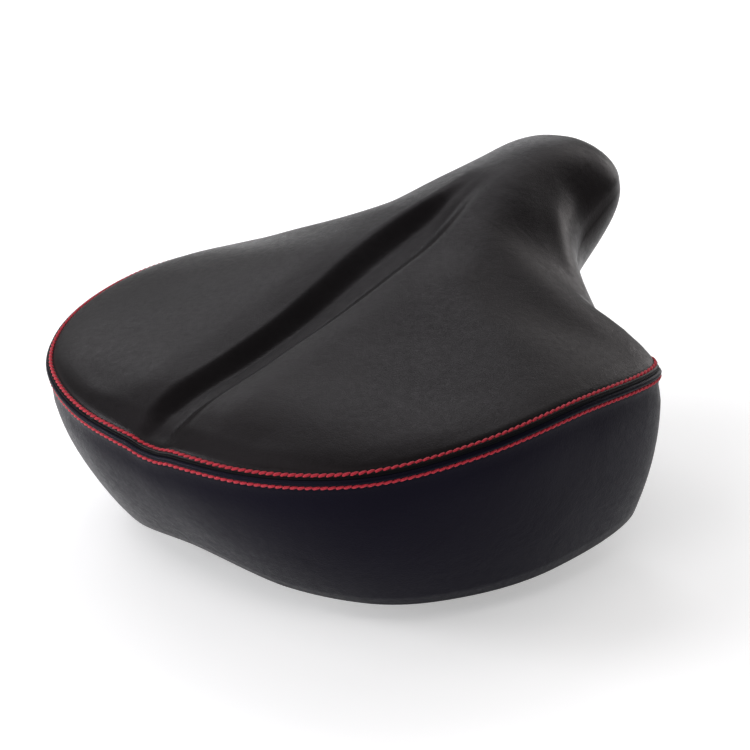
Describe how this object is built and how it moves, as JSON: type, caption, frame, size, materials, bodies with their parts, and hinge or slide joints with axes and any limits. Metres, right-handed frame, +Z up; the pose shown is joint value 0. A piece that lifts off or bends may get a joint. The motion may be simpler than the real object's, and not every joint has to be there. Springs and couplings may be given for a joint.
{
  "type": "bicycle saddle",
  "caption": "Wide black comfort saddle with a long middle groove, a raised nose, a double red-stitched seam, rubber springs and a clamp for a plain seat post.",
  "frame": {"origin": "middle of the seat post's socket, at the lower edge of the collar", "axes": "+X to the rider's right, +Y towards the nose, +Z up"},
  "size_m": [0.2476, 0.2791, 0.1377],
  "materials": {
    "top_leather": "fine grained artificial leather, satin",
    "band_leather": "fine grained artificial leather, satin",
    "welt": "folded artificial leather, satin",
    "red_thread": "twisted polyester sewing thread",
    "foam": "moulded polyurethane foam",
    "shell_plastic": "moulded polypropylene, fine texture",
    "rubber": "matt elastomer",
    "black_steel": "satin black coated steel",
    "zinc_steel": "bright zinc plated steel"
  },
  "bodies": {
    "post_clamp": {"post_collar": "black_steel"},
    "rail_clamp": {"left_inner_cup": "black_steel", "right_inner_cup": "black_steel", "left_outer_cup": "black_steel", "right_outer_cup": "black_steel", "clamp_bolt": "zinc_steel", "clamp_nut": "zinc_steel", "left_clamp_washer": "zinc_steel", "right_clamp_washer": "zinc_steel"},
    "rail_frame": {"rail_loop": "black_steel", "rear_bridge": "black_steel", "left_rubber_spring": "rubber", "right_rubber_spring": "rubber", "left_spring_bolt": "zinc_steel", "right_spring_bolt": "zinc_steel"},
    "saddle_top": {"cover_top_panel": "top_leather", "cover_side_band": "band_leather", "seam_welt": "welt", "upper_seam_thread": "red_thread", "lower_seam_thread": "red_thread", "foam_cushion": "foam", "base_shell": "shell_plastic", "nose_socket": "shell_plastic", "nose_socket_cap": "black_steel", "rear_nose_screw": "zinc_steel", "front_nose_screw": "zinc_steel", "left_spring_seat": "shell_plastic", "right_spring_seat": "shell_plastic", "left_seat_screw": "zinc_steel", "right_seat_screw": "zinc_steel"}
  },
  "joints": [
    {"name": "saddle_tilt", "type": "hinge", "parent": "post_clamp", "child": "rail_clamp", "pos_m": [0, -0.0225, 0.013], "axis": [1, 0, 0], "range_deg": [-15, 15]},
    {"name": "rail_slide", "type": "slide", "parent": "rail_clamp", "child": "rail_frame", "axis": [0, 1, 0], "range_m": [-0.018, 0.018]},
    {"name": "suspension", "type": "hinge", "parent": "rail_frame", "child": "saddle_top", "pos_m": [0, 0.091, 0.084], "axis": [1, 0, 0], "range_deg": [0, 2], "stiffness_Nm_per_rad": 1800, "deforming": ["left_rubber_spring", "right_rubber_spring"]}
  ]
}
